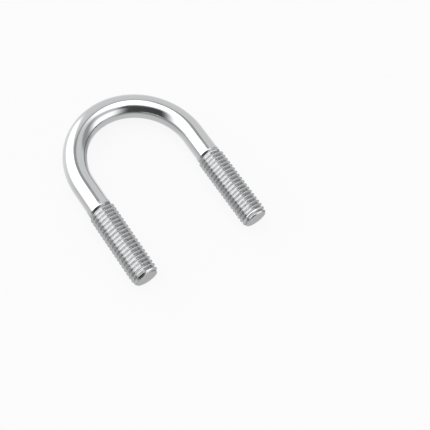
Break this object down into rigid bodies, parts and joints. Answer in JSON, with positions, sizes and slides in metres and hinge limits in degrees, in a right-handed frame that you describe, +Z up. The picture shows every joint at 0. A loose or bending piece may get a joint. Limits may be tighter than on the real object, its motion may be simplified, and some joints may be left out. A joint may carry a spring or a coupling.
{
  "type": "u-bolt",
  "caption": "Round steel bar bent through a half circle, with parallel legs that end in rolled coarse metric threads; clamps a tube against a plate.",
  "frame": {"origin": "centre of the bend, on the bar's mid plane, which is the centre of the tube that it clamps", "axes": "the U lies flat in XY; +Y towards the bend, -Y out of the threaded ends, X across the two legs, +Z up and through the U"},
  "size_m": [0.046, 0.0559, 0.008],
  "materials": {
    "polished_steel": "bright polished stainless steel"
  },
  "bodies": {
    "root": {"u_bolt": "polished_steel"}
  },
  "joints": []
}
